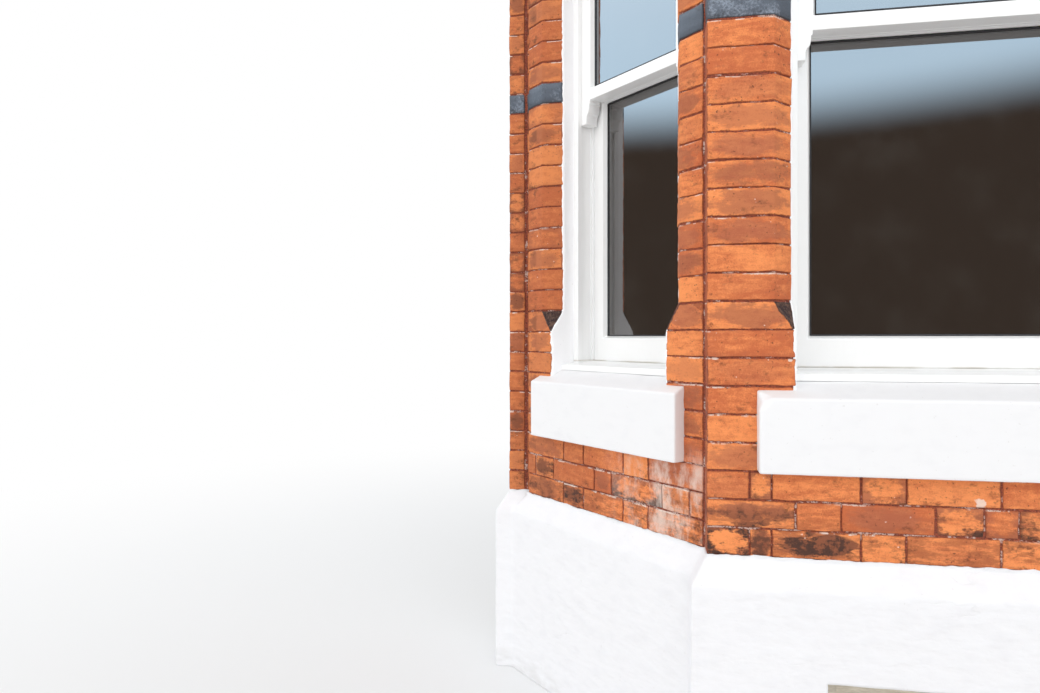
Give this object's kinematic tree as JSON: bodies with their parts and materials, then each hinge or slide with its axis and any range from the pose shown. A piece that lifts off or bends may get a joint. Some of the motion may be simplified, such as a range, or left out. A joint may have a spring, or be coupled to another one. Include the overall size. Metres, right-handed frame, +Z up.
{
  "type": "canted bay window",
  "caption": "Single-storey canted bay window in brick: painted plinth and sills, chamfered jambs, sash windows in three faces, flat arches, cornice and a hipped slate roof.",
  "frame": {"origin": "on the ground, in the middle of the box round the whole bay; the house wall lies in the plane Y = +0.537 m", "axes": "X to the right along the house wall as seen from outside, Y from the street into the house, Z up"},
  "size_m": [3.353, 1.074, 4.9925],
  "materials": {
    "brick": "red facing brick in dark red mortar, matt",
    "blue_brick": "blue-black engineering brick, slight sheen",
    "plinth": "thick white masonry paint on render, lumpy",
    "painted_stone": "stone under thick white paint, worn arrises",
    "painted_timber": "white satin paint on timber",
    "glass": "clear double glazing",
    "slate": "natural blue-grey slate",
    "lead": "dull weathered sheet lead",
    "plaster": "painted plaster, matt",
    "old_board": "weathered grey-beige paint on boards"
  },
  "bodies": {
    "root": {"plinth_left": "plinth", "plinth_front": "plinth", "plinth_right": "plinth", "cellar_light": "old_board", "apron_left": "brick", "apron_front": "brick", "apron_right": "brick", "sill_left": "painted_stone", "sill_front": "painted_stone", "sill_right": "painted_stone", "wall_pier_left": "brick", "corner_pier_left": "brick", "corner_pier_right": "brick", "wall_pier_right": "brick", "blue_course_left": "blue_brick", "blue_course_right": "blue_brick", "arch_left": "brick", "arch_front": "brick", "arch_right": "brick", "upper_wall_left": "brick", "upper_wall_front": "brick", "upper_wall_right": "brick", "string_course": "painted_stone", "cornice_left": "painted_stone", "cornice_front": "painted_stone", "cornice_right": "painted_stone", "roof_left": "slate", "roof_front": "slate", "roof_right": "slate", "lead_hips": "lead", "lead_flashing": "lead", "ceiling": "plaster", "frame_left": "painted_timber", "frame_front": "painted_timber", "frame_right": "painted_timber", "upper_sash_left": "painted_timber", "upper_sash_front": "painted_timber", "upper_sash_right": "painted_timber", "lower_sash_left": "painted_timber", "lower_sash_front": "painted_timber", "lower_sash_right": "painted_timber", "glass_left": "glass", "glass_front": "glass", "glass_right": "glass", "window_boards": "painted_timber"}
  },
  "joints": []
}
